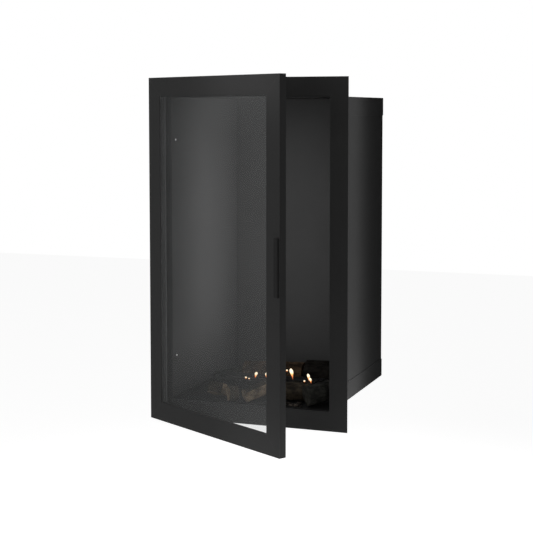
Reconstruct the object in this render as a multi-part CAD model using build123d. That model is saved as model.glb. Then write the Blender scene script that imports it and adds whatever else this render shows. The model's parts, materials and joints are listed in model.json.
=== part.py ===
from build123d import *
import math
import os

# Built-in bioethanol fireplace with a tall glazed door, in millimetres.
# X runs to the right as seen from the room, Y into the wall, Z up.
# The origin is the centre of the casing's underside, which stands on the floor of the niche.
# The door is drawn shut and then swung to its resting angle about the hinge pins.

# Casing, the sheet steel box in the niche
casing_width = 495.0
casing_height = 891.0
casing_depth = 538.0
casing_sheet = 1.5
tray_skirt = 55.0
tray_front_lip = 20.0
panel_front_lip = 20.0
bend_radius = 1.0
hearth_sheet = 3.0
hearth_clearance = 1.0
shield_gap = 15.5
shield_sheet = 1.5
shield_clearance = 1.0
fixing_hole_radius = 3.5
fixing_hole_setback = 35.0
fixing_hole_spacing = 640.0

# Wall flange, the flat frame that laps over the wall on every side of the casing
flange_side_lap = 47.5
flange_end_lap = 54.5
flange_sheet = 2.0
flange_inner_lap = 2.5

# Door
door_depth = 21.5
door_gap = 4.5
door_border = 54.0
door_sheet = 2.0
door_tube = 36.0
door_rest_angle = 30.0
glass_thickness = 4.0
glass_overlap = 12.0
glass_bevel = 0.5
gasket_thickness = 1.5
gasket_width = 6.0
bead_setback = 5.0
bead_clearance = 0.2
seal_width = 10.0
seal_clearance = 0.5
seal_inset = 1.0

# Hinges
hinge_count = 3
hinge_end_distance = 130.0
hinge_length = 80.0
hinge_knuckles = 5
hinge_axis_inset = 5.0
hinge_axis_offset = 6.5
hinge_pin_radius = 2.5
hinge_wall = 1.95
hinge_leaf = 2.0
hinge_leaf_width = 28.0
hinge_leaf_gap = 0.3
hinge_hole_count = 3
hinge_hole_spacing = 28.0
hinge_cap_height = 2.0
knuckle_gap = 0.2
running_fit = 0.05
notch_clearance = 1.5

# Handle and magnets
handle_width = 15.0
handle_length = 155.0
handle_proud = 7.0
handle_inset = 2.0
handle_groove_depth = 2.5
handle_groove_height = 4.0
handle_edge = 1.0
handle_screw_spacing = 110.0
handle_screw_grip = 5.0
magnet_radius = 8.0
magnet_clearance = 0.5
magnet_inset = 18.0
magnet_spacing = 700.0

# Screws and rivets
screw_radius = 2.0
screw_head_radius = 4.0
screw_head_height = 2.0
screw_fit = 0.05
screw_grip = 4.0
pan_head_height = 2.4
back_screw_count = 4
back_screws_edge = 60.0
spacer_radius = 6.0
spacer_edge = 70.0
bead_side_screw_count = 3
bead_rail_screw_count = 2
bead_screw_edge = 110.0

# Burner
burner_length = 344.0
burner_depth = 98.0
burner_height = 42.0
burner_sheet = 1.5
burner_corner = 8.0
burner_setback = 118.0
burner_plate = 2.0
burner_plate_lap = 2.0
slot_end_margin = 32.0
slot_width = 24.0
slot_setback = 160.0
pad_clearance = 0.5
pad_drop = 6.0
lid_sheet = 1.5
lid_lap = 3.0
lid_travel = 36.0
lid_clearance = 0.3
lid_slip = 0.1
lid_end_lap = 10.0
lid_tab_width = 60.0
lid_tab_height = 10.0
lid_tab_hole = 3.0
guide_wall = 2.0
guide_roof = 1.5
guide_cover = 6.0
guide_foot = 10.0

# Logs and embers
log_sides = 14
log_stations = 5
log_seat = 0.1

# Places worked out from the sizes above
casing_front = -casing_depth / 2
casing_back = casing_depth / 2
casing_side = casing_width / 2
panel_inside = casing_side - 2 * casing_sheet
flange_back = casing_front
flange_front = flange_back - flange_sheet
flange_side = casing_side + flange_side_lap
flange_bottom = -flange_end_lap
flange_top = casing_height + flange_end_lap
opening_half_width = panel_inside - flange_inner_lap
opening_bottom = casing_sheet
opening_top = casing_height - casing_sheet
hearth_top = casing_sheet + hearth_sheet
back_panel_front = casing_back - 2 * casing_sheet
back_panel_back = casing_back - casing_sheet
shield_back = back_panel_front - shield_gap
shield_front = shield_back - shield_sheet
middle_height = casing_height / 2
door_back = flange_front - door_gap
door_front = door_back - door_depth
door_side = flange_side
door_bottom = flange_bottom
door_top = flange_top
glass_front = door_front + door_sheet + gasket_thickness
glass_back = glass_front + glass_thickness
bead_front = glass_back + gasket_thickness
bead_inner = door_border - bead_setback
tube_rear_inside = door_back - door_sheet
hinge_x = -door_side + hinge_axis_inset
hinge_y = flange_front - hinge_axis_offset
hinge_radius = hinge_pin_radius + running_fit + hinge_wall
hinge_axis = Axis((hinge_x, hinge_y, 0), (0, 0, 1))
leaf_edge = hinge_x + hinge_radius + hinge_leaf_gap
leaf_end = hinge_x + hinge_leaf_width
leaf_hole_x = (leaf_edge + leaf_end) / 2
hinge_step = (door_top - door_bottom - 2 * hinge_end_distance) / (hinge_count - 1)
hinge_heights = [door_bottom + hinge_end_distance + i * hinge_step for i in range(hinge_count)]
burner_front = flange_front + burner_setback
burner_back = burner_front + burner_depth
burner_top = hearth_top + burner_height
slot_y = flange_front + slot_setback
slot_length = burner_length - 2 * slot_end_margin
lid_width = slot_width + 2 * lid_lap
lid_length = slot_length + 2 * lid_end_lap
lid_y = slot_y + lid_travel
lid_bottom = burner_top + lid_slip
lid_top = lid_bottom + lid_sheet


def block(x0, x1, y0, y1, z0, z1):
    size = Box(x1 - x0, y1 - y0, z1 - z0)
    return Pos((x0 + x1) / 2, (y0 + y1) / 2, (z0 + z1) / 2) * size


def rod(start, end, radius):
    line = Vector(*end) - Vector(*start)
    disc = Plane(origin=start, z_dir=line) * Circle(radius)
    return extrude(disc, line.length)


def rectangle_ring(half_width, bottom, top, inner, outer, y0, y1):
    # A rectangular ring in the door's plane, from outer to inner millimetres in from the edge
    body = block(-half_width + outer, half_width - outer, y0, y1, bottom + outer, top - outer)
    hole = block(-half_width + inner, half_width - inner, y0 - 1, y1 + 1, bottom + inner, top - inner)
    return body - hole


def countersunk(point, direction, length):
    # A countersunk screw whose head is flush at point and which runs along direction
    way = Vector(*direction)
    head_profile = Polyline(
        (0, 0),
        (screw_head_radius - screw_fit, 0),
        (screw_radius, screw_head_height),
        (screw_radius, length),
        (0, length),
        close=True,
    )
    turned = revolve(Plane.XZ * make_face(head_profile), Axis.Z)
    return Plane(origin=point, z_dir=way) * turned


def countersunk_hole(point, direction, length):
    way = Vector(*direction)
    hole_profile = Polyline(
        (0, -0.5),
        (screw_head_radius + 0.5, -0.5),
        (screw_radius + screw_fit, screw_head_height),
        (screw_radius + screw_fit, length),
        (0, length),
        close=True,
    )
    turned = revolve(Plane.XZ * make_face(hole_profile), Axis.Z)
    return Plane(origin=point, z_dir=way) * turned


def pan_screw(point, direction, length):
    # A pan head that sits on the surface at point, with a shank along direction
    way = Vector(*direction)
    profile = Polyline(
        (0, -pan_head_height),
        (screw_head_radius - 1, -pan_head_height),
        (screw_head_radius, -pan_head_height / 2),
        (screw_head_radius, 0),
        (screw_radius, 0),
        (screw_radius, length),
        (0, length),
        close=True,
    )
    turned = revolve(Plane.XZ * make_face(profile), Axis.Z)
    return Plane(origin=point, z_dir=way) * turned


def plain_hole(point, direction, length):
    way = Vector(*direction).normalized()
    start = Vector(*point) - way
    end = Vector(*point) + way * length
    return rod(tuple(start), tuple(end), screw_radius + screw_fit)


def swing(shape):
    return shape.rotate(hinge_axis, -door_rest_angle)


def group(solids):
    return Compound(children=solids)


def save(node, shape):
    export_step(shape, os.path.join("parts", node + ".step"))


# Casing

def spread(low, high, count):
    return [low + (high - low) * i / (count - 1) for i in range(count)]


back_screw_xs = spread(-casing_side + back_screws_edge, casing_side - back_screws_edge, back_screw_count)
spacer_points = []
for spacer_x in (-casing_side + spacer_edge, casing_side - spacer_edge):
    for spacer_z in spread(tray_skirt + spacer_edge, casing_height - tray_skirt - spacer_edge, 3):
        spacer_points.append((spacer_x, spacer_z))


def tray():
    # A folded tray that opens upwards and at the front, with a lip turned down behind the flange
    outer = block(-casing_side, casing_side, casing_front, casing_back, 0, tray_skirt)
    outer_folds = outer.edges().group_by(Axis.Z)[0].sort_by(Axis.Y)[1:]
    outer_corners = outer.edges().filter_by(Axis.Z).sort_by(Axis.Y)[2:]
    outer = fillet(outer_folds + outer_corners, bend_radius + casing_sheet)
    inner = block(
        -casing_side + casing_sheet,
        casing_side - casing_sheet,
        casing_front - casing_depth,
        casing_back - casing_sheet,
        casing_sheet,
        2 * tray_skirt,
    )
    inner_folds = inner.edges().group_by(Axis.Z)[0].sort_by(Axis.Y)[1:]
    inner_corners = inner.edges().filter_by(Axis.Z).sort_by(Axis.Y)[2:]
    inner = fillet(inner_folds + inner_corners, bend_radius)
    body = outer - inner
    lip_room = block(
        -flange_side,
        flange_side,
        casing_front - 1,
        casing_front + casing_sheet,
        casing_sheet,
        2 * tray_skirt,
    )
    lip = block(
        -casing_side + tray_front_lip,
        casing_side - tray_front_lip,
        casing_front,
        casing_front + casing_sheet,
        -tray_front_lip,
        casing_sheet,
    )
    body = body - lip_room + lip
    for x in back_screw_xs:
        body = body - plain_hole((x, casing_back, tray_skirt / 2), (0, -1, 0), 2 * casing_sheet)
    return body


base_tray = tray()
top_tray = mirror(base_tray, Plane.XY).moved(Pos(0, 0, casing_height))


def side_panel(sign):
    # The wall sheet with a lip folded outwards along its front edge
    near = panel_inside
    far = panel_inside + casing_sheet
    low = casing_sheet
    high = casing_height - casing_sheet
    body = block(near, far, casing_front, back_panel_front, low + bend_radius, high - bend_radius)
    lip = block(
        near,
        near + panel_front_lip,
        casing_front,
        casing_front + casing_sheet,
        low + bend_radius,
        high - bend_radius,
    )
    body = body + lip
    fixing_y = flange_back + fixing_hole_setback
    for z in (middle_height - fixing_hole_spacing / 2, middle_height + fixing_hole_spacing / 2):
        body = body - rod((near - 1, fixing_y, z), (far + 1, fixing_y, z), fixing_hole_radius)
    if sign < 0:
        body = mirror(body, Plane.YZ)
    return body


def back_panel():
    edge = casing_side - casing_sheet - bend_radius
    low = casing_sheet + bend_radius
    high = casing_height - casing_sheet - bend_radius
    body = block(-edge, edge, back_panel_front, back_panel_back, low, high)
    for x in back_screw_xs:
        for z in (tray_skirt / 2, casing_height - tray_skirt / 2):
            body = body - plain_hole((x, back_panel_back, z), (0, -1, 0), 2 * casing_sheet)
    for x, z in spacer_points:
        body = body - plain_hole((x, back_panel_back, z), (0, -1, 0), 2 * casing_sheet)
    return body


def back_panel_screws():
    screws = []
    for x in back_screw_xs:
        for z in (tray_skirt / 2, casing_height - tray_skirt / 2):
            screws.append(pan_screw((x, casing_back, z), (0, -1, 0), screw_grip))
    return group(screws)


def rear_heat_shield():
    edge = panel_inside - shield_clearance
    low = casing_sheet + bend_radius
    high = casing_height - casing_sheet - shield_clearance
    body = block(-edge, edge, shield_front, shield_back, low, high)
    for x, z in spacer_points:
        body = body - plain_hole((x, shield_back, z), (0, -1, 0), shield_sheet - 0.5)
    return body


def shield_spacers():
    sleeves = []
    for x, z in spacer_points:
        sleeve = rod((x, shield_back, z), (x, back_panel_front, z), spacer_radius)
        sleeves.append(sleeve - plain_hole((x, back_panel_front, z), (0, -1, 0), casing_depth / 4))
    return group(sleeves)


def shield_screws():
    length = back_panel_back - shield_back + shield_sheet - 0.6
    return group([pan_screw((x, back_panel_back, z), (0, -1, 0), length) for x, z in spacer_points])


def hearth_plate():
    edge = panel_inside - hearth_clearance
    front = casing_front + casing_sheet
    return block(-edge, edge, front, shield_front - hearth_clearance, casing_sheet, hearth_top)


def wall_flange():
    body = block(-flange_side, flange_side, flange_front, flange_back, flange_bottom, flange_top)
    hole = block(
        -opening_half_width,
        opening_half_width,
        flange_front - 1,
        flange_back + 1,
        opening_bottom,
        opening_top,
    )
    body = body - hole
    for height in hinge_heights:
        for z in leaf_hole_heights(height):
            body = body - plain_hole((leaf_hole_x, flange_front, z), (0, 1, 0), 2 * flange_sheet)
    return body


# Hinges

def leaf_hole_heights(height):
    reach = hinge_hole_spacing * (hinge_hole_count - 1) / 2
    return spread(height - reach, height + reach, hinge_hole_count)


def knuckle_span(height, index):
    pitch = hinge_length / hinge_knuckles
    low = height - hinge_length / 2 + index * pitch + knuckle_gap / 2
    return low, low + pitch - knuckle_gap


def hinge_side(height, first, leaf_y0, leaf_y1, root_y0, root_y1, bore):
    # One leaf with every second knuckle, curled from the leaf's edge round the pin
    leaf_low = height - hinge_length / 2
    body = block(leaf_edge, leaf_end, leaf_y0, leaf_y1, leaf_low, leaf_low + hinge_length)
    for index in range(first, hinge_knuckles, 2):
        low, high = knuckle_span(height, index)
        body = body + rod((hinge_x, hinge_y, low), (hinge_x, hinge_y, high), hinge_radius)
        body = body + block(hinge_x, hinge_x + hinge_radius, root_y0, root_y1, low, high)
        body = body + block(hinge_x, leaf_edge, leaf_y0, leaf_y1, low, high)
    low = height - hinge_length
    high = height + hinge_length
    return body - rod((hinge_x, hinge_y, low), (hinge_x, hinge_y, high), bore)


def fixed_leaf(height):
    leaf_front = flange_front - hinge_leaf
    bore = hinge_pin_radius + running_fit / 2
    body = hinge_side(height, 0, leaf_front, flange_front, hinge_y, leaf_front, bore)
    for z in leaf_hole_heights(height):
        body = body - countersunk_hole((leaf_hole_x, leaf_front, z), (0, 1, 0), 2 * hinge_leaf)
    return body


def door_leaf(height):
    leaf_rear = door_back + hinge_leaf
    bore = hinge_pin_radius + running_fit
    body = hinge_side(height, 1, door_back, leaf_rear, hinge_y, door_back, bore)
    for z in leaf_hole_heights(height):
        body = body - countersunk_hole((leaf_hole_x, leaf_rear, z), (0, -1, 0), 2 * hinge_leaf)
    return body


def hinge_pin(height):
    low = height - hinge_length / 2
    high = height + hinge_length / 2
    profile = Polyline(
        (0, low - hinge_cap_height),
        (hinge_radius - 1, low - hinge_cap_height),
        (hinge_radius, low - hinge_cap_height / 2),
        (hinge_radius, low),
        (hinge_pin_radius, low),
        (hinge_pin_radius, high),
        (hinge_radius, high),
        (hinge_radius, high + hinge_cap_height / 2),
        (hinge_radius - 1, high + hinge_cap_height),
        (0, high + hinge_cap_height),
        close=True,
    )
    return Pos(hinge_x, hinge_y, 0) * revolve(Plane.XZ * make_face(profile), Axis.Z)


def hinge_rivets():
    rivets = []
    for height in hinge_heights:
        for z in leaf_hole_heights(height):
            point = (leaf_hole_x, flange_front - hinge_leaf, z)
            rivets.append(countersunk(point, (0, 1, 0), hinge_leaf + flange_sheet))
    return group(rivets)


def hinge_screws():
    screws = []
    for height in hinge_heights:
        for z in leaf_hole_heights(height):
            point = (leaf_hole_x, door_back + hinge_leaf, z)
            screws.append(countersunk(point, (0, -1, 0), hinge_leaf + screw_grip))
    return group(screws)


# Door

handle_x = door_side - handle_inset - handle_width / 2
handle_screw_heights = [middle_height - handle_screw_spacing / 2, middle_height + handle_screw_spacing / 2]
magnet_x = door_side - magnet_inset
magnet_heights = [middle_height - magnet_spacing / 2, middle_height + magnet_spacing / 2]
sides = ["left", "right", "top", "bottom"]


def bead_screw_points():
    # Each point lies on a bead's inner face, with the way the screw runs
    points = []
    inner_side = door_side - bead_inner
    low = door_bottom + bead_inner
    high = door_top - bead_inner
    y = (bead_front + door_back) / 2
    for z in spread(low + bead_screw_edge, high - bead_screw_edge, bead_side_screw_count):
        points.append(((-inner_side, y, z), (-1, 0, 0)))
        points.append(((inner_side, y, z), (1, 0, 0)))
    for x in spread(-inner_side + bead_screw_edge, inner_side - bead_screw_edge, bead_rail_screw_count):
        points.append(((x, y, low), (0, 0, -1)))
        points.append(((x, y, high), (0, 0, 1)))
    return points


def mitre_prism(side, y0, y1):
    # The quarter of the door's outline that one frame member fills, cut at 45 degrees
    w = door_side
    b = door_border
    low = door_bottom
    high = door_top
    corners = {
        "left": [(-w, low), (-w + b, low + b), (-w + b, high - b), (-w, high)],
        "right": [(w, low), (w, high), (w - b, high - b), (w - b, low + b)],
        "top": [(-w, high), (-w + b, high - b), (w - b, high - b), (w, high)],
        "bottom": [(-w, low), (w, low), (w - b, low + b), (-w + b, low + b)],
    }[side]
    outline = Polyline([(x, y0, z) for x, z in corners], close=True)
    return extrude(make_face(outline), y1 - y0, dir=(0, 1, 0))


def door_ring(inner, outer, y0, y1):
    return rectangle_ring(door_side, door_bottom, door_top, inner, outer, y0, y1)


def door_frame():
    # A closed tube round the door, whose front face runs on inwards as the lip over the glass
    body = door_ring(door_border, 0, door_front, door_front + door_sheet)
    body = body + door_ring(door_sheet, 0, door_front, door_back)
    body = body + door_ring(door_tube, 0, tube_rear_inside, door_back)
    body = body + door_ring(door_tube, door_tube - door_sheet, door_front, door_back)
    for height in hinge_heights:
        low = height - hinge_length / 2 - hinge_cap_height - notch_clearance
        high = height + hinge_length / 2 + hinge_cap_height + notch_clearance
        notch_x = hinge_x + hinge_radius + notch_clearance
        notch_y = hinge_y - hinge_radius - notch_clearance
        body = body - block(-door_side - 1, notch_x, notch_y, door_back + 1, low, high)
        for z in leaf_hole_heights(height):
            body = body - plain_hole((leaf_hole_x, door_back, z), (0, -1, 0), 2 * door_sheet)
    for z in handle_screw_heights:
        body = body - countersunk_hole((handle_x, door_back, z), (0, -1, 0), 2 * door_depth)
    for z in magnet_heights:
        body = body - plain_hole((magnet_x, door_back, z), (0, -1, 0), 2 * door_sheet)
    for point, way in bead_screw_points():
        body = body - plain_hole(point, way, bead_inner - door_tube + 2 * door_sheet)
    return body


def glazing_beads():
    bead = door_ring(bead_inner, door_tube + bead_clearance, bead_front, door_back)
    for point, way in bead_screw_points():
        bead = bead - countersunk_hole(point, way, door_border)
    return group([bead & mitre_prism(side, door_front - 1, door_back + 1) for side in sides])


def bead_screws():
    length = bead_inner - door_tube + screw_grip
    return group([countersunk(point, way, length) for point, way in bead_screw_points()])


def gasket(edge, y0, y1):
    # A tape on the glass whose inner edge stays just behind the given edge
    inner = edge - glass_bevel
    return door_ring(inner, inner - gasket_width, y0, y1)


def door_glass():
    edge = door_border - glass_overlap
    pane = block(
        -door_side + edge,
        door_side - edge,
        glass_front,
        glass_back,
        door_bottom + edge,
        door_top - edge,
    )
    return chamfer(pane.edges(), glass_bevel)


def door_seal():
    inner = bead_inner - seal_inset
    return door_ring(inner, inner - seal_width, door_back, flange_front - seal_clearance)


def door_handle():
    # A pull bar with a finger groove along the side that faces the glass
    left = handle_x - handle_width / 2
    right = handle_x + handle_width / 2
    front = door_front - handle_proud
    groove_low = door_front - (handle_proud - handle_groove_height) / 2
    groove_high = groove_low - handle_groove_height
    groove_y = (groove_low + groove_high) / 2
    outline = (
        Polyline(
            (left, groove_low),
            (left, door_front),
            (right, door_front),
            (right, front + handle_edge),
            (right - handle_edge, front),
            (left + handle_edge, front),
            (left, front + handle_edge),
            (left, groove_high),
        )
        + ThreePointArc((left, groove_high), (left + handle_groove_depth, groove_y), (left, groove_low))
    )
    low = middle_height - handle_length / 2
    body = extrude(Pos(0, 0, low) * make_face(outline), handle_length)
    for z in handle_screw_heights:
        body = body - plain_hole((handle_x, door_front, z), (0, -1, 0), handle_screw_grip)
    return body


def handle_screws():
    length = door_depth + handle_screw_grip - 0.2
    return group([countersunk((handle_x, door_back, z), (0, -1, 0), length) for z in handle_screw_heights])


def door_magnets():
    cups = []
    rear = flange_front - magnet_clearance
    for z in magnet_heights:
        cup = rod((magnet_x, door_back, z), (magnet_x, rear, z), magnet_radius)
        cups.append(cup - countersunk_hole((magnet_x, rear, z), (0, -1, 0), 2 * door_gap))
    return group(cups)


def magnet_screws():
    rear = flange_front - magnet_clearance
    length = rear - door_back + screw_grip
    return group([countersunk((magnet_x, rear, z), (0, -1, 0), length) for z in magnet_heights])


# Burner

burner_inside = burner_length / 2 - burner_plate_lap
guide_stop_front = slot_y - lid_width / 2 - lid_clearance
guide_stop_back = lid_y + lid_width / 2 + lid_clearance
guide_screw_ys = [slot_y, lid_y]
guide_screw_x = lid_length / 2 + lid_clearance + guide_wall + (guide_foot - guide_wall) / 2


def burner_tank():
    front = burner_front + burner_plate_lap
    back = burner_back - burner_plate_lap
    top = burner_top - burner_plate
    outer = block(-burner_inside, burner_inside, front, back, hearth_top, top)
    outer = fillet(outer.edges().filter_by(Axis.Z), burner_corner)
    inner = block(
        -burner_inside + burner_sheet,
        burner_inside - burner_sheet,
        front + burner_sheet,
        back - burner_sheet,
        hearth_top + burner_sheet,
        top + 1,
    )
    inner = fillet(inner.edges().filter_by(Axis.Z), burner_corner - burner_sheet)
    return outer - inner


def burner_plate_part():
    top = burner_top
    body = block(-burner_length / 2, burner_length / 2, burner_front, burner_back, top - burner_plate, top)
    body = fillet(body.edges().filter_by(Axis.Z), burner_corner + burner_plate_lap)
    slot_outline = Pos(0, slot_y, top - 2 * burner_plate) * SlotOverall(slot_length, slot_width)
    body = body - extrude(slot_outline, 3 * burner_plate)
    for sign in (-1, 1):
        for y in guide_screw_ys:
            body = body - plain_hole((sign * guide_screw_x, y, top), (0, 0, -1), 2 * burner_plate)
    return body


def fibre_pad():
    gap = burner_sheet + pad_clearance
    top = burner_top - burner_plate - pad_drop
    pad = block(
        -burner_inside + gap,
        burner_inside - gap,
        burner_front + burner_plate_lap + gap,
        burner_back - burner_plate_lap - gap,
        hearth_top + burner_sheet,
        top,
    )
    return fillet(pad.edges().filter_by(Axis.Z), burner_corner - gap)


def burner_lid():
    body = block(
        -lid_length / 2,
        lid_length / 2,
        lid_y - lid_width / 2,
        lid_y + lid_width / 2,
        lid_bottom,
        lid_top,
    )
    tab_back = lid_y + lid_width / 2
    tab = block(
        -lid_tab_width / 2,
        lid_tab_width / 2,
        tab_back - lid_sheet,
        tab_back,
        lid_bottom,
        lid_top + lid_tab_height,
    )
    tab = fillet(tab.edges().filter_by(Axis.Y).group_by(Axis.Z)[-1], lid_tab_hole)
    hole_z = lid_top + lid_tab_height / 2
    hole = rod((0, tab_back - 2 * lid_sheet, hole_z), (0, tab_back + lid_sheet, hole_z), lid_tab_hole)
    return body + tab - hole


def lid_guide(sign):
    # A channel that holds one end of the lid down and stops it at both ends of its travel
    near = lid_length / 2 - guide_cover
    lid_end = lid_length / 2 + lid_clearance
    far = lid_end + guide_wall
    roof = lid_top + lid_clearance + guide_roof
    front = guide_stop_front - guide_wall
    back = guide_stop_back + guide_wall
    body = block(near, far, front, back, burner_top, roof)
    travel = block(
        near - 1,
        lid_end,
        guide_stop_front,
        guide_stop_back,
        burner_top - 1,
        lid_top + lid_clearance,
    )
    foot = block(far, far + guide_foot - guide_wall, front, back, burner_top, burner_top + guide_wall)
    body = body - travel + foot
    for y in guide_screw_ys:
        top = burner_top + guide_wall
        body = body - countersunk_hole((guide_screw_x, y, top), (0, 0, -1), 2 * guide_wall)
    if sign < 0:
        body = mirror(body, Plane.YZ)
    return body


def guide_screws():
    screws = []
    for sign in (-1, 1):
        for y in guide_screw_ys:
            point = (sign * guide_screw_x, y, burner_top + guide_wall)
            screws.append(countersunk(point, (0, 0, -1), guide_wall + burner_plate))
    return group(screws)


# Logs, cast in ceramic as split and round wood

def log_section(theta, radius, station, phase, split_angle, split_depth):
    # Distance from the log's heart to its skin at angle theta, flat where the log is split
    ripple = 0.05 * math.sin(3 * theta + phase) + 0.03 * math.sin(5 * theta + 2 * phase + station)
    reach = radius * (1 - 0.06 + ripple)
    facing = math.cos(theta - split_angle)
    if split_depth is not None and facing > 0.05:
        reach = min(reach, split_depth * radius / facing)
    return reach


def log_body(start, end, radius_start, radius_end, phase, split_angle=0, split_depth=None, seat=True):
    # Angles run round the log's own axis from its right-hand side, seen from the start
    heart = Vector(*end) - Vector(*start)
    side = heart.cross(Vector(0, 0, 1)).normalized()
    faces = []
    for station in range(log_stations):
        along = station / (log_stations - 1)
        bow = math.sin(math.pi * along) * 0.05 * radius_start * math.sin(phase)
        centre = Vector(*start) + heart * along + side * bow
        radius = radius_start + (radius_end - radius_start) * along
        plane = Plane(origin=centre, x_dir=side, z_dir=heart)
        points = []
        for step in range(log_sides):
            theta = 2 * math.pi * step / log_sides
            reach = log_section(theta, radius, station, phase, split_angle, split_depth)
            points.append((reach * math.cos(theta), reach * math.sin(theta)))
        faces.append(plane * make_face(Polyline(points, close=True)))
    body = loft(faces, ruled=True)
    if seat:
        drop = body.bounding_box().min.Z - hearth_top - log_seat
        body = body.moved(Pos(0, 0, -drop))
    return body


def before_burner(gap_to_right, gap_to_burner, z):
    # A point given by its distances to the right-hand wall and to the front of the burner
    return (panel_inside - gap_to_right, burner_front - gap_to_burner, z)


def behind_burner(gap_to_right, gap_to_burner, z):
    return (panel_inside - gap_to_right, burner_back + gap_to_burner, z)


def by_left_wall(gap_to_left, gap_to_burner, z):
    return (-panel_inside + gap_to_left, burner_back + gap_to_burner, z)


log_set = {
    "log_back": dict(
        start=behind_burner(368.5, 72, 38),
        end=behind_burner(172.5, 68, 42),
        radius_start=35,
        radius_end=38,
        phase=0.4,
    ),
    "log_charred": dict(
        start=behind_burner(162.5, 54, 50),
        end=behind_burner(10.5, 66, 50),
        radius_start=41,
        radius_end=46,
        phase=1.9,
    ),
    "log_front_right": dict(
        start=before_burner(78.5, 94, 36),
        end=before_burner(22.5, 42, 50),
        radius_start=31,
        radius_end=30,
        phase=2.7,
    ),
    "log_centre": dict(
        start=before_burner(160.5, 34, 32),
        end=before_burner(86.5, 32, 32),
        radius_start=28,
        radius_end=29,
        phase=0.9,
        split_angle=math.radians(150),
        split_depth=0.55,
    ),
    "log_front_left": dict(
        start=before_burner(262.5, 106, 30),
        end=before_burner(188.5, 28, 58),
        radius_start=23,
        radius_end=24,
        phase=3.8,
        split_angle=math.radians(25),
        split_depth=0.42,
    ),
    "log_stub": dict(
        start=before_burner(314.5, 108, 28),
        end=before_burner(292.5, 91, 28),
        radius_start=24,
        radius_end=24,
        phase=2.2,
    ),
    "log_left": dict(
        start=before_burner(392.5, 50, 30),
        end=before_burner(344.5, 58, 30),
        radius_start=25,
        radius_end=24,
        phase=5.1,
        split_angle=math.radians(65),
        split_depth=0.5,
    ),
    "log_branch": dict(
        start=by_left_wall(14.5, 88, 22),
        end=by_left_wall(64.5, 214, 22),
        radius_start=11,
        radius_end=10,
        phase=4.4,
    ),
}

# Loose bark and embers on the hearth in front of the logs, in two rows starting at these gaps
chip_front_count = 6
chip_rear_count = 4
chip_rows = [(168.5, 100, chip_front_count), (152.5, 76, chip_rear_count)]
chip_pitch = 15.0
chip_size = 8.5
chip_sway = 3.0


def chip(place, size, turn):
    base = RegularPolygon(size, 5)
    crown = RegularPolygon(size * 0.55, 5)
    high = Pos(size * 0.1, 0, size * 0.9) * Rot(0, 0, 20) * crown
    body = loft([base, high], ruled=True)
    return Pos(*place) * Rot(0, 0, turn) * body


def ember_chips():
    chips = []
    for gap_to_right, gap_to_burner, count in chip_rows:
        for index in range(count):
            size = chip_size * (0.72 + 0.28 * math.sin(2.3 * index + gap_to_burner))
            sway = chip_sway * math.cos(1.7 * index)
            place = before_burner(gap_to_right - index * chip_pitch, gap_to_burner - sway, hearth_top)
            chips.append(chip(place, size, 37 * index))
    return group(chips)


os.makedirs("parts", exist_ok=True)

save("base_tray", base_tray)
save("top_tray", top_tray)
save("side_panel_left", side_panel(-1))
save("side_panel_right", side_panel(1))
save("back_panel", back_panel())
save("back_panel_screws", back_panel_screws())
save("rear_heat_shield", rear_heat_shield())
save("shield_spacers", shield_spacers())
save("shield_screws", shield_screws())
save("hearth_plate", hearth_plate())
save("wall_flange", wall_flange())

save("hinge_leaves_fixed", group([fixed_leaf(height) for height in hinge_heights]))
save("hinge_rivets", hinge_rivets())
save("hinge_pins", group([hinge_pin(height) for height in hinge_heights]))
save("hinge_leaves_door", swing(group([door_leaf(height) for height in hinge_heights])))
save("hinge_screws", swing(hinge_screws()))

frame_ring = door_frame()
member_names = ["door_stile_hinge", "door_stile_handle", "door_rail_top", "door_rail_bottom"]
for name, side in zip(member_names, sides):
    save(name, swing(frame_ring & mitre_prism(side, door_front - 1, door_back + 1)))
save("glazing_beads", swing(glazing_beads()))
save("bead_screws", swing(bead_screws()))
save("glass_gasket_front", swing(gasket(door_border, door_front + door_sheet, glass_front)))
save("glass_gasket_rear", swing(gasket(bead_inner, glass_back, bead_front)))
save("door_glass", swing(door_glass()))
save("door_seal", swing(door_seal()))
save("door_handle", swing(door_handle()))
save("handle_screws", swing(handle_screws()))
save("door_magnets", swing(door_magnets()))
save("magnet_screws", swing(magnet_screws()))

save("burner_tank", burner_tank())
save("burner_top_plate", burner_plate_part())
save("fibre_pad", fibre_pad())
save("burner_lid", burner_lid())
save("lid_guides", group([lid_guide(-1), lid_guide(1)]))
save("guide_screws", guide_screws())

for name, settings in log_set.items():
    save(name, log_body(**settings))
save("ember_chips", ember_chips())
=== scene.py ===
import bpy
import bmesh
import json
import math
from mathutils import Matrix, Vector, noise


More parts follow.
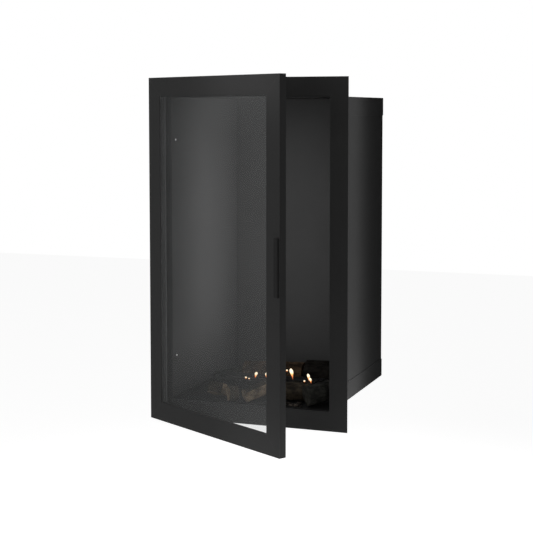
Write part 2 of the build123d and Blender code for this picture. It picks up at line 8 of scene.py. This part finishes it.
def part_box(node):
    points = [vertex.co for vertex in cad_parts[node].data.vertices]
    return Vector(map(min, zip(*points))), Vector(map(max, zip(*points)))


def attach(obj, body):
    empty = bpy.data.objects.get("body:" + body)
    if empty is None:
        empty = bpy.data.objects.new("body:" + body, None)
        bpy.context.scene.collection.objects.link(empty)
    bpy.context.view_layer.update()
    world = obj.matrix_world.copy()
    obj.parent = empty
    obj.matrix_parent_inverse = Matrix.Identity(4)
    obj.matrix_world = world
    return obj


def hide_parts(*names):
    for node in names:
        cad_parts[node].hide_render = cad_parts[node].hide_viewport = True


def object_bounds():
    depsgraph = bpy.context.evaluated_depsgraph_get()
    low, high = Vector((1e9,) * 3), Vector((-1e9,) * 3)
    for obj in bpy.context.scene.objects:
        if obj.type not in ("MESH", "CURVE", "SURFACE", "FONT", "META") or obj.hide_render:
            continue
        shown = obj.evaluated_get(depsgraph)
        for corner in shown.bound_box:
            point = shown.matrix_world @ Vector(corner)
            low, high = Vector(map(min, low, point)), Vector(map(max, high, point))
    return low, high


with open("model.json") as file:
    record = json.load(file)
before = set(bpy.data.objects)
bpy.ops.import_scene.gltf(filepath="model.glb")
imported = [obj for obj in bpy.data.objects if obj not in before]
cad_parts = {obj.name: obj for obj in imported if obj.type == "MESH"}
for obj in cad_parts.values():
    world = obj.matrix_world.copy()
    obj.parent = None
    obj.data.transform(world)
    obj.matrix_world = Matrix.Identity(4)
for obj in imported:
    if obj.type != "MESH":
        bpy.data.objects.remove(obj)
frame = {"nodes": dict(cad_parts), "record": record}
cad_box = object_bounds()

MM = 0.001

# Places taken from the steel work, in metres
flange_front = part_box("wall_flange")[0].y
hearth_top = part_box("hearth_plate")[1].z
burner_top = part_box("burner_top_plate")[1].z


# Materials

def new_material(name):
    material = bpy.data.materials.new(name)
    material.use_nodes = True
    tree = material.node_tree
    tree.nodes.clear()
    output = tree.nodes.new("ShaderNodeOutputMaterial")
    shader = tree.nodes.new("ShaderNodeBsdfPrincipled")
    tree.links.new(shader.outputs["BSDF"], output.inputs["Surface"])
    return material, tree, shader


def coordinates(tree, stretch=(1, 1, 1), attribute=None):
    # Object coordinates, or a vector stored on the mesh, stretched before a texture reads them
    if attribute:
        source = tree.nodes.new("ShaderNodeAttribute")
        source.attribute_name = attribute
        vector = source.outputs["Vector"]
    else:
        source = tree.nodes.new("ShaderNodeTexCoord")
        vector = source.outputs["Object"]
    mapping = tree.nodes.new("ShaderNodeMapping")
    mapping.inputs["Scale"].default_value = stretch
    tree.links.new(vector, mapping.inputs["Vector"])
    return mapping.outputs["Vector"]


def noise_texture(tree, vector, scale, detail=4.0, roughness=0.55):
    texture = tree.nodes.new("ShaderNodeTexNoise")
    texture.inputs["Scale"].default_value = scale
    texture.inputs["Detail"].default_value = detail
    texture.inputs["Roughness"].default_value = roughness
    tree.links.new(vector, texture.inputs["Vector"])
    return texture.outputs["Fac"]


def ramp(tree, factor, stops):
    node = tree.nodes.new("ShaderNodeValToRGB")
    elements = node.color_ramp.elements
    while len(elements) < len(stops):
        elements.new(0.5)
    for element, (place, colour) in zip(elements, stops):
        element.position = place
        element.color = (*colour, 1)
    tree.links.new(factor, node.inputs["Fac"])
    return node.outputs["Color"]


def spread_value(tree, factor, low, high):
    node = tree.nodes.new("ShaderNodeMapRange")
    node.inputs["To Min"].default_value = low
    node.inputs["To Max"].default_value = high
    tree.links.new(factor, node.inputs["Value"])
    return node.outputs["Result"]


def mix_colour(tree, factor, first, second, mode="MIX"):
    node = tree.nodes.new("ShaderNodeMix")
    node.data_type = "RGBA"
    node.blend_type = mode
    for value, socket in ((factor, node.inputs[0]), (first, node.inputs[6]), (second, node.inputs[7])):
        if isinstance(value, bpy.types.NodeSocket):
            tree.links.new(value, socket)
        else:
            socket.default_value = value
    return node.outputs[2]


def bump(tree, shader, height, strength, distance):
    node = tree.nodes.new("ShaderNodeBump")
    node.inputs["Strength"].default_value = strength
    node.inputs["Distance"].default_value = distance
    tree.links.new(height, node.inputs["Height"])
    tree.links.new(node.outputs["Normal"], shader.inputs["Normal"])


def grey(value):
    return (value, value, value)


def edge_wear_and_highlight(tree, radius, reach):
    # Near an edge the rounded normal leans away from the flat one, and a coarse noise breaks the mask up;
    # the mask paints edges paler, partly as rubbed wear and partly as a painted edge highlight
    rounded = tree.nodes.new("ShaderNodeBevel")
    rounded.samples = 4
    rounded.inputs["Radius"].default_value = radius
    flat = tree.nodes.new("ShaderNodeNewGeometry")
    lean = tree.nodes.new("ShaderNodeVectorMath")
    lean.operation = "DOT_PRODUCT"
    tree.links.new(rounded.outputs["Normal"], lean.inputs[0])
    tree.links.new(flat.outputs["Normal"], lean.inputs[1])
    edge = tree.nodes.new("ShaderNodeMapRange")
    edge.inputs["From Min"].default_value = 1.0
    edge.inputs["From Max"].default_value = reach
    tree.links.new(lean.outputs["Value"], edge.inputs["Value"])
    broken = tree.nodes.new("ShaderNodeMath")
    broken.operation = "MULTIPLY"
    tree.links.new(edge.outputs["Result"], broken.inputs[0])
    patches = noise_texture(tree, coordinates(tree), scale=55, detail=5, roughness=0.7)
    tree.links.new(patches, broken.inputs[1])
    return broken.outputs["Value"]


def powder_coat(name, level, rough=0.45, gloss=1.2, texture=0.25, spread=0.12):
    # Fine orange-peel powder coat: close-set speckle, slow mottling, and edges painted a little paler,
    # partly as rubbed wear and partly as a painted edge highlight
    material, tree, shader = new_material(name)
    vector = coordinates(tree)
    speckle = noise_texture(tree, vector, scale=900, detail=2)
    mottle = noise_texture(tree, vector, scale=7, detail=3)
    peel = noise_texture(tree, vector, scale=650, detail=3)
    fine = ramp(tree, speckle, [(0.35, grey(level * (1 - spread))), (0.65, grey(level * (1 + spread)))])
    slow = ramp(tree, mottle, [(0.3, grey(0.92)), (0.7, grey(1.0))])
    colour = mix_colour(tree, 1.0, fine, slow, "MULTIPLY")
    # The paler edge colour is partly rubbed wear and partly a painted highlight along the edges
    rubbed_and_highlight = (*grey(level * 2.2 + 0.01), 1)
    colour = mix_colour(tree, edge_wear_and_highlight(tree, radius=0.0012, reach=0.8), colour, rubbed_and_highlight)
    tree.links.new(colour, shader.inputs["Base Color"])
    tree.links.new(spread_value(tree, mottle, rough - 0.04, rough + 0.05), shader.inputs["Roughness"])
    shader.inputs["IOR"].default_value = gloss
    bump(tree, shader, peel, texture, distance=0.00025)
    return material


def brushed_metal(name, level, rough, stretch):
    # Bare steel with fine lines drawn out across the stretched direction
    material, tree, shader = new_material(name)
    vector = coordinates(tree, stretch)
    lines = noise_texture(tree, vector, scale=60, detail=5, roughness=0.7)
    colour = ramp(tree, lines, [(0.3, grey(level * 0.85)), (0.7, grey(level * 1.05))])
    tree.links.new(colour, shader.inputs["Base Color"])
    shader.inputs["Metallic"].default_value = 1.0
    tree.links.new(spread_value(tree, lines, rough - 0.06, rough + 0.08), shader.inputs["Roughness"])
    bump(tree, shader, lines, strength=0.15, distance=0.0001)
    return material


def pane_glass(name, reflection_veil=0.13):
    # Clear heat-proof glass: each face lets through what its pale veil doesn't cover; the pale grey veil
    # is painted reflection, a diffuse layer standing in for the pane's reflected haze
    material, tree, shader = new_material(name)
    vector = coordinates(tree)
    veil_noise = noise_texture(tree, vector, scale=5, detail=2)
    # The pale grey base colour is painted reflection, varied slowly across the pane
    colour = ramp(tree, veil_noise, [(0.3, (0.175, 0.179, 0.179)), (0.7, (0.195, 0.199, 0.199))])
    tree.links.new(colour, shader.inputs["Base Color"])
    tree.links.new(spread_value(tree, veil_noise, 0.04, 0.07), shader.inputs["Roughness"])
    shader.inputs["Specular IOR Level"].default_value = 0.0
    shader.inputs["Alpha"].default_value = reflection_veil
    return material


def woven_tape(name, dark, light):
    # Glass-fibre tape and braid: slanting threads with a dull fuzz
    material, tree, shader = new_material(name)
    vector = coordinates(tree)
    wave = tree.nodes.new("ShaderNodeTexWave")
    wave.bands_direction = "DIAGONAL"
    wave.inputs["Scale"].default_value = 220
    wave.inputs["Distortion"].default_value = 1.5
    tree.links.new(vector, wave.inputs["Vector"])
    colour = ramp(tree, wave.outputs["Fac"], [(0.2, grey(dark)), (0.8, grey(light))])
    tree.links.new(colour, shader.inputs["Base Color"])
    fuzz = noise_texture(tree, vector, scale=500)
    tree.links.new(spread_value(tree, fuzz, 0.8, 1.0), shader.inputs["Roughness"])
    bump(tree, shader, wave.outputs["Fac"], strength=0.5, distance=0.0005)
    return material


def fibre_wool(name):
    # Ceramic wool, its strands drawn out along the burner
    material, tree, shader = new_material(name)
    vector = coordinates(tree, (1, 4, 1))
    strands = noise_texture(tree, vector, scale=130, detail=6, roughness=0.7)
    colour = ramp(tree, strands, [(0.3, (0.10, 0.09, 0.08)), (0.7, (0.34, 0.32, 0.29))])
    tree.links.new(colour, shader.inputs["Base Color"])
    tree.links.new(spread_value(tree, strands, 0.85, 1.0), shader.inputs["Roughness"])
    bump(tree, shader, strands, strength=0.6, distance=0.001)
    return material


def log_material(name, bark_dark, bark_light, wood_dark, wood_light, scorch):
    # Bark, split wood and sawn ends share one skin: the mesh says which part is which
    material, tree, shader = new_material(name)
    along = coordinates(tree, (1, 1, 1), "grain")
    around = coordinates(tree, (6, 1, 6), "grain")
    solid = coordinates(tree)
    plates = noise_texture(tree, along, scale=60, detail=8, roughness=0.65)
    fibres = noise_texture(tree, around, scale=45, detail=8, roughness=0.7)
    patches = noise_texture(tree, solid, scale=38, detail=4, roughness=0.6)
    bark = ramp(tree, plates, [(0.32, bark_dark), (0.52, bark_light), (0.72, bark_dark)])
    wood = ramp(tree, fibres, [(0.3, wood_dark), (0.6, wood_light)])
    kind = tree.nodes.new("ShaderNodeAttribute")
    kind.attribute_name = "wood"
    skin = mix_colour(tree, kind.outputs["Fac"], bark, wood)
    burnt = ramp(tree, patches, [(0.42, grey(1.0)), (0.62, grey(scorch))])
    tree.links.new(mix_colour(tree, 1.0, skin, burnt, "MULTIPLY"), shader.inputs["Base Color"])
    tree.links.new(spread_value(tree, plates, 0.75, 0.95), shader.inputs["Roughness"])
    shader.inputs["Specular IOR Level"].default_value = 0.12
    bump(tree, shader, plates, strength=0.5, distance=0.0012)
    return material


def flame_material(name):
    # White-hot tip over an orange root, by the height stored on the mesh
    material, tree, shader = new_material(name)
    rise = tree.nodes.new("ShaderNodeAttribute")
    rise.attribute_name = "rise"
    root = (0.0, (0.10, 0.015, 0.004))
    orange = (0.3, (0.75, 0.14, 0.03))
    yellow = (0.5, (1.0, 0.5, 0.16))
    tip = (0.68, (1.0, 0.92, 0.7))
    colour = ramp(tree, rise.outputs["Fac"], [root, orange, yellow, tip])
    tree.links.new(colour, shader.inputs["Emission Color"])
    shader.inputs["Emission Strength"].default_value = 1.2
    flicker = noise_texture(tree, coordinates(tree), scale=90, detail=2)
    gas = ramp(tree, flicker, [(0.3, (0.3, 0.12, 0.05)), (0.7, (0.5, 0.3, 0.15))])
    tree.links.new(gas, shader.inputs["Base Color"])
    shader.inputs["Roughness"].default_value = 1.0
    shader.inputs["Specular IOR Level"].default_value = 0.0
    return material


slot_materials = {
    "casing_coat": powder_coat("casing coat", level=0.031, rough=0.65, gloss=1.02),
    "hearth_coat": powder_coat("hearth coat", level=0.010, rough=0.6, gloss=1.12, texture=0.3),
    "flange_coat": powder_coat("flange coat", level=0.021, rough=0.5, gloss=1.15),
    "hinge_coat": powder_coat("hinge coat", level=0.015, rough=0.5, gloss=1.15),
    "door_coat": powder_coat("door coat", level=0.022, rough=0.5, gloss=1.15),
    "bead_coat": powder_coat("bead coat", level=0.022, rough=0.5, gloss=1.15),
    "handle_coat": powder_coat("handle coat", level=0.010, rough=0.45, gloss=1.15),
    "burner_black": powder_coat("burner black", level=0.010, rough=0.6, gloss=1.15, texture=0.4),
    "pin_steel": brushed_metal("pin steel", level=0.4, rough=0.35, stretch=(1, 1, 20)),
    "zinc_steel": brushed_metal("zinc steel", level=0.5, rough=0.35, stretch=(8, 8, 8)),
    "black_steel": powder_coat("black steel", level=0.02, rough=0.5, gloss=1.15, texture=0.1),
    "magnet_steel": brushed_metal("magnet steel", level=0.55, rough=0.2, stretch=(12, 1, 12)),
    "door_glass": pane_glass("door glass"),
    "gasket_tape": woven_tape("gasket tape", dark=0.03, light=0.09),
    "seal_braid": woven_tape("seal braid", dark=0.02, light=0.07),
    "ceramic_fibre": fibre_wool("ceramic fibre"),
}

for entry in frame["record"]["subparts"]:
    finish = slot_materials.get(entry["material_slot"])
    node = frame["nodes"][entry["node"]]
    if finish:
        for place in node.material_slots:
            place.link = "OBJECT"
            place.material = finish


# Meshes

def place_point(x, setback, height):
    # From millimetres across, behind the flange's front and up, to metres
    return Vector((x * MM, flange_front + setback * MM, height * MM))


def close_tube(mesh, rings):
    # Faces from each ring to the next, and a cap on each end
    turns = len(rings[0])
    for first, second in zip(rings, rings[1:]):
        for step in range(turns):
            after = (step + 1) % turns
            mesh.faces.new((first[step], first[after], second[after], second[step]))
    mesh.faces.new(reversed(rings[0]))
    mesh.faces.new(rings[-1])


def mesh_data(name, mesh, material):
    data = bpy.data.meshes.new(name)
    mesh.to_mesh(data)
    mesh.free()
    data.materials.append(material)
    return data


def store_vectors(data, name, points):
    data.attributes.new(name, "FLOAT_VECTOR", "POINT")
    data.attributes[name].data.foreach_set("vector", [value for point in points for value in point])


def store_numbers(data, name, values):
    data.attributes.new(name, "FLOAT", "POINT")
    data.attributes[name].data.foreach_set("value", values)


def shade_smooth(data):
    data.polygons.foreach_set("use_smooth", [True] * len(data.polygons))


def add_object(name, data):
    made = bpy.data.objects.new(name, data)
    bpy.context.scene.collection.objects.link(made)
    return made


# Logs

bark_tones = {
    "log_red_brown": ((0.006, 0.004, 0.002), (0.034, 0.021, 0.012)),
    "log_charred": ((0.0006, 0.0005, 0.0004), (0.0065, 0.0055, 0.0045)),
    "log_grey_bark": ((0.0015, 0.0015, 0.0014), (0.021, 0.021, 0.018)),
    "log_split": ((0.005, 0.004, 0.003), (0.028, 0.022, 0.015)),
}
wood_tones = {
    "log_red_brown": ((0.018, 0.010, 0.005), (0.050, 0.028, 0.016)),
    "log_charred": ((0.001, 0.0009, 0.0008), (0.010, 0.008, 0.006)),
    "log_grey_bark": ((0.004, 0.004, 0.0035), (0.026, 0.026, 0.022)),
    "log_split": ((0.07, 0.048, 0.028), (0.22, 0.165, 0.11)),
}
log_materials = {}
for tone, bark in bark_tones.items():
    log_materials[tone] = log_material(tone.replace("_", " "), *bark, *wood_tones[tone], scorch=0.3)

log_rings = 90
log_turns = 110
end_rings = 10

# Shares of a log's radius: the room left for bark, the two waves round its section, and its bow
bark_room = 0.06
broad_wave = 0.05
fine_wave = 0.03
log_bow = 0.05

# Heights of the relief in millimetres
plate_height = 0.9
crack_depth = 2.2
strand_height = 0.5
tear_height = 1.2
saw_height = 1.2


def log_section(theta, radius, station, phase, split_angle, split_depth):
    # The same section as the solid log: distance from the heart to the skin, and whether it is split there
    broad = broad_wave * math.sin(3 * theta + phase)
    fine = fine_wave * math.sin(5 * theta + 2 * phase + station)
    reach = radius * (1 - bark_room + (broad + fine))
    facing = math.cos(theta - split_angle)
    if split_depth is not None and facing > 0.05 and split_depth * radius / facing < reach:
        return split_depth * radius / facing, 1.0
    return reach, 0.0


def bark_relief(theta, along, radius, seed):
    # Long bark plates parted by cracks that wander along the log
    across_grain = 140
    along_grain = 32
    spoke = radius * across_grain
    ridge = Vector((math.cos(theta) * spoke, math.sin(theta) * spoke, along * along_grain + seed))
    plate = noise.fractal(ridge, 0.8, 2.0, 4)
    crack = 1 - abs(noise.noise(ridge * 0.55 + Vector((7, 3, seed))))
    return plate * plate_height * MM - (crack ** 6) * crack_depth * MM


def split_relief(theta, along, radius, seed):
    # Torn fibres that run along the log, on broad steps
    across_grain = 420
    along_grain = 11
    spoke = radius * across_grain
    strand = Vector((math.sin(theta) * spoke, math.cos(theta) * spoke, along * along_grain + seed))
    tear = noise.noise(Vector((math.sin(theta) * radius * 90, seed, along * 6)))
    return noise.fractal(strand, 0.9, 2.0, 3) * strand_height * MM + tear * tear_height * MM


def log_piece(name, tone, start, end, radius_start, radius_end, phase, split_angle=0.0, split_depth=None):
    # Start and end are the heart's ends, each across, behind the flange's front and up
    start = place_point(*start)
    heart = place_point(*end) - start
    way = heart.normalized()
    side = heart.cross(Vector((0, 0, 1))).normalized()
    over = way.cross(side)
    mesh = bmesh.new()
    grain_values = []
    wood_values = []

    def ring(along, shrink, sawn):
        bow = math.sin(math.pi * along) * log_bow * radius_start * MM * math.sin(phase)
        centre = start + heart * along + side * bow
        radius = (radius_start + (radius_end - radius_start) * along) * MM
        station = 4 * along
        made = []
        for step in range(log_turns):
            theta = 2 * math.pi * step / log_turns
            reach, split = log_section(theta, radius, station, phase, split_angle, split_depth)
            length = along * heart.length
            relief = split_relief if split else bark_relief
            reach = (reach + relief(theta, length, radius, phase * 10)) * shrink
            spoke = side * math.cos(theta) + over * math.sin(theta)
            saw = noise.noise(Vector((theta * 2, shrink * 5, phase))) * saw_height * MM * sawn
            made.append(mesh.verts.new(centre + spoke * reach + way * saw))
            grain_values.append((theta * radius, length, reach))
            wood_values.append(max(split, sawn))
        return made

    rings = [ring(0, (k + 1) / (end_rings + 1), 1.0) for k in range(end_rings)]
    rings += [ring(k / (log_rings - 1), 1.0, 0.0) for k in range(log_rings)]
    rings += [ring(1, (end_rings - k) / (end_rings + 1), 1.0) for k in range(end_rings)]
    close_tube(mesh, rings)
    data = mesh_data(name + "_skin", mesh, log_materials[tone])
    store_vectors(data, "grain", grain_values)
    store_numbers(data, "wood", wood_values)
    shade_smooth(data)
    lowest = min(vertex.co.z for vertex in data.vertices)
    data.transform(Matrix.Translation((0, 0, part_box(name)[0].z - lowest)))
    piece = add_object(name + "_skin", data)
    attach(piece, "casing")
    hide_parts(name)


log_piece("log_back", "log_red_brown", (-124, 288, 38), (72, 284, 42), 35, 38, 0.4)
log_piece("log_charred", "log_charred", (82, 270, 50), (234, 282, 50), 41, 46, 1.9)
log_piece("log_front_right", "log_grey_bark", (166, 24, 36), (222, 76, 50), 31, 30, 2.7)
log_piece("log_centre", "log_split", (84, 84, 32), (158, 86, 32), 28, 29, 0.9, math.radians(150), 0.55)
log_piece("log_front_left", "log_split", (-18, 12, 30), (56, 90, 58), 23, 24, 3.8, math.radians(25), 0.42)
log_piece("log_stub", "log_split", (-70, 10, 28), (-48, 27, 28), 24, 24, 2.2)
log_piece("log_left", "log_split", (-148, 68, 30), (-100, 60, 30), 25, 24, 5.1, math.radians(65), 0.5)
log_piece("log_branch", "log_grey_bark", (-230, 304, 22), (-180, 430, 22), 11, 10, 4.4)


# Bark chips and embers on the hearth

# Each row: its first chip across and behind the flange, its gap to the burner, and how many chips
chip_rows = [(76, 18, 100, 6), (92, 42, 76, 4)]
chip_pitch = 15.0
chip_size = 8.5
chip_sway = 3.0
chip_roughness = 0.28
chip_flatness = 0.55
chip_seat = 0.42
chip_tone = log_material(
    "ember chip",
    bark_dark=(0.004, 0.0035, 0.003),
    bark_light=(0.024, 0.02, 0.017),
    wood_dark=(0.02, 0.014, 0.01),
    wood_light=(0.09, 0.075, 0.062),
    scorch=0.4,
)


def chip_piece():
    mesh = bmesh.new()
    for start_x, setback, gap_to_burner, count in chip_rows:
        for index in range(count):
            size = chip_size * (0.72 + 0.28 * math.sin(2.3 * index + gap_to_burner))
            sway = chip_sway * math.cos(1.7 * index)
            place = Vector((start_x + index * chip_pitch, setback + sway, 0)) * MM
            place += Vector((0, flange_front, hearth_top))
            made = bmesh.ops.create_icosphere(mesh, subdivisions=3, radius=size * MM)["verts"]
            turn = Matrix.Rotation(math.radians(37 * index), 3, "Z")
            for vertex in made:
                rough = noise.fractal(vertex.co * 260 + Vector((index, setback, 0)), 0.9, 2.0, 3)
                point = turn @ (vertex.co * (1 + chip_roughness * rough))
                point.z = max(0.0, point.z * chip_flatness + size * chip_seat * MM)
                vertex.co = place + point
    data = mesh_data("ember_chips_skin", mesh, chip_tone)
    store_vectors(data, "grain", [vertex.co for vertex in data.vertices])
    store_numbers(data, "wood", [max(0.0, 1.6 * noise.noise(vertex.co * 45)) for vertex in data.vertices])
    piece = add_object("ember_chips_skin", data)
    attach(piece, "casing")
    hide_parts("ember_chips")


chip_piece()


# Flames over the burner slot, with their roots just above the path of the lid

fire = flame_material("flame")
flame_turns = 24
flame_levels = 22
flame_flatness = 0.6
flame_lick = 0.15
flame_gap_to_lid = 2.9


def flame_piece(name, x, setback, foot, height, width, lean, curl):
    # A flame body: drawn-out root, full shoulder high up, short tip
    mesh = bmesh.new()
    rises = []
    rings = []
    for level in range(flame_levels):
        rise = level / (flame_levels - 1)
        swell = math.sin(math.pi * rise ** 1.8) ** 0.8 * (0.65 + 0.35 * rise) + 0.04
        across = width / 2 * swell * MM
        drift = (lean * rise + curl * math.sin(2.6 * rise)) * MM
        centre = place_point(x, setback, foot + height * rise) + Vector((drift, 0, 0))
        made = []
        for step in range(flame_turns):
            theta = 2 * math.pi * step / flame_turns
            lick = 1 + flame_lick * math.sin(2 * theta + 5 * rise + x)
            spoke = Vector((math.cos(theta), flame_flatness * math.sin(theta), 0)) * across * lick
            made.append(mesh.verts.new(centre + spoke))
            rises.append(rise)
        rings.append(made)
    close_tube(mesh, rings)
    data = mesh_data(name, mesh, fire)
    store_numbers(data, "rise", rises)
    shade_smooth(data)
    piece = add_object(name, data)
    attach(piece, "casing")


flame_foot = burner_top / MM + flame_gap_to_lid
for name, x, setback, foot, height, width, lean, curl in [
    ("flame_tall", 78, 159, 0, 34, 11, -7, 0),
    ("flame_spark", 62, 150, 25, 7, 6, 0, 0),
    ("flame_right", 129, 155, 0, 23, 8, -3, 1),
    ("flame_right_low", 147, 125, 0, 18, 8, -5, 0),
    ("flame_right_small", 122, 135, 0, 7, 6, 0, 0),
    ("flame_middle", -36, 140, 0, 20, 10, 5, 0),
    ("flame_inner", -7, 158, 0, 16, 7, 0, 0),
    ("flame_left", -58, 121, 0, 8, 6, 0, 0),
    ("flame_left_small", -47, 119, 0, 5, 5, 0, 0),
]:
    flame_piece(name, x, setback, flame_foot + foot, height, width, lean, curl)


# Camera, from the perspective of the photograph

camera_place = Vector((1.31434, -3.64943, 0.84942))
camera_yaw = 0.35111
camera_pitch = -0.0718
camera_lens = 85.912
camera_shift = (-0.01469, -0.12)
camera_data = bpy.data.cameras.new("camera")
camera_data.sensor_width = 36.0
camera_data.lens = camera_lens
camera_data.shift_x, camera_data.shift_y = camera_shift
camera_data.clip_end = 100
camera = add_object("camera", camera_data)
camera.location = camera_place
camera.rotation_euler = (math.pi / 2 + camera_pitch, 0, camera_yaw)
bpy.context.scene.camera = camera


# Light and floor

def white_rays(tree):
    # One for the rays that show the backdrop: camera, mirror and see-through rays
    paths = tree.nodes.new("ShaderNodeLightPath")
    total = paths.outputs["Is Camera Ray"]
    for kind in ("Is Glossy Ray", "Is Transmission Ray"):
        add = tree.nodes.new("ShaderNodeMath")
        add.operation = "MAXIMUM"
        tree.links.new(total, add.inputs[0])
        tree.links.new(paths.outputs[kind], add.inputs[1])
        total = add.outputs["Value"]
    return total


def softbox(name, place, target, size, size_y, power, spread=180):
    data = bpy.data.lights.new(name, "AREA")
    data.shape = "RECTANGLE"
    data.size = size
    data.size_y = size_y
    data.energy = power
    data.spread = math.radians(spread)
    lamp = add_object(name, data)
    lamp.location = place
    lamp.rotation_euler = (Vector(target) - Vector(place)).to_track_quat("-Z", "Y").to_euler()
    lamp.visible_camera = False
    lamp.visible_glossy = False


# Each lamp: its place and target in metres, its two sizes, its power and its spread
softbox("key", (2.4, -2.6, 2.4), (0, 0, 0.4), 1.6, 1.6, 4)
softbox("fill", (-0.5, -4.4, 1.3), (0, 0, 0.4), 2.2, 2.2, 96)
softbox("rear", (-1.0, 3.6, 1.6), (0, 0.2, 0.4), 1.6, 1.6, 14, 50)
softbox("left", (-3.0, 1.6, 1.2), (-0.2, 0.1, 0.4), 1.4, 1.4, 9, 50)
softbox("above", (0.0, 0.5, 3.6), (0, 0.2, 0.9), 1.4, 1.4, 7, 50)
softbox("side", (0.35, -0.10, 0.455), (0.25, -0.10, 0.455), 0.25, 1.15, 1.7)
softbox("inside", (0.21, 0.0, 0.49), (-0.24, 0.0, 0.49), 0.34, 0.74, 2.3, 80)
softbox("back_wall", (0.0, -0.20, 0.50), (0.0, 0.25, 0.50), 0.40, 0.70, 0.9, 100)
softbox("hearth", (0.03, -0.23, 0.24), (0.03, -0.15, 0.0), 0.36, 0.10, 0.4)
softbox("rail_top", (0.026, -0.621, 0.94), (0.086, -0.517, 0.93), 0.34, 0.03, 0.22)
softbox("rail_foot", (0.065, -0.645, -0.06), (0.125, -0.540, -0.03), 0.26, 0.03, 0.11)
softbox("bounce", (0.40, -1.10, -0.35), (0.18, -0.40, 0.02), 0.5, 0.3, 0.5)
softbox("foot", (0.38, -0.10, -0.10), (0.25, -0.10, 0.03), 0.2, 0.04, 0.45)
softbox("free_edge", (0.45, -0.62, -0.12), (0.215, -0.575, 0.0), 0.06, 0.06, 0.55)

world = bpy.data.worlds.new("world")
bpy.context.scene.world = world
world.use_nodes = True
tree = world.node_tree
tree.nodes.clear()
ambient_strength = 0.1
output = tree.nodes.new("ShaderNodeOutputWorld")
white = tree.nodes.new("ShaderNodeBackground")
white.inputs["Color"].default_value = (1, 1, 1, 1)
white.inputs["Strength"].default_value = 1.0
ambient = tree.nodes.new("ShaderNodeBackground")
ambient.inputs["Color"].default_value = (1, 1, 1, 1)
ambient.inputs["Strength"].default_value = ambient_strength
choose = tree.nodes.new("ShaderNodeMixShader")
tree.links.new(white_rays(tree), choose.inputs["Fac"])
tree.links.new(ambient.outputs["Background"], choose.inputs[1])
tree.links.new(white.outputs["Background"], choose.inputs[2])
tree.links.new(choose.outputs["Shader"], output.inputs["Surface"])

floor_drop = 0.6
floor_reach = 8
floor_glow = 0.9
floor_material, floor_tree, floor_shader = new_material("floor")
floor_shader.inputs["Base Color"].default_value = (0.5, 0.5, 0.5, 1)
floor_shader.inputs["Roughness"].default_value = 0.9
floor_shader.inputs["Specular IOR Level"].default_value = 0.0
floor_shader.inputs["Emission Color"].default_value = (1, 1, 1, 1)
glow = floor_tree.nodes.new("ShaderNodeMath")
glow.operation = "MULTIPLY"
glow.inputs[1].default_value = floor_glow
floor_tree.links.new(white_rays(floor_tree), glow.inputs[0])
floor_tree.links.new(glow.outputs["Value"], floor_shader.inputs["Emission Strength"])
floor_mesh = bmesh.new()
bmesh.ops.create_grid(floor_mesh, x_segments=8, y_segments=8, size=floor_reach)
floor = add_object("floor", mesh_data("floor", floor_mesh, floor_material))
floor.location = (0, 0, cad_box[0].z - floor_drop)

bpy.context.scene.view_settings.view_transform = "Standard"
bpy.context.scene.view_settings.look = "None"
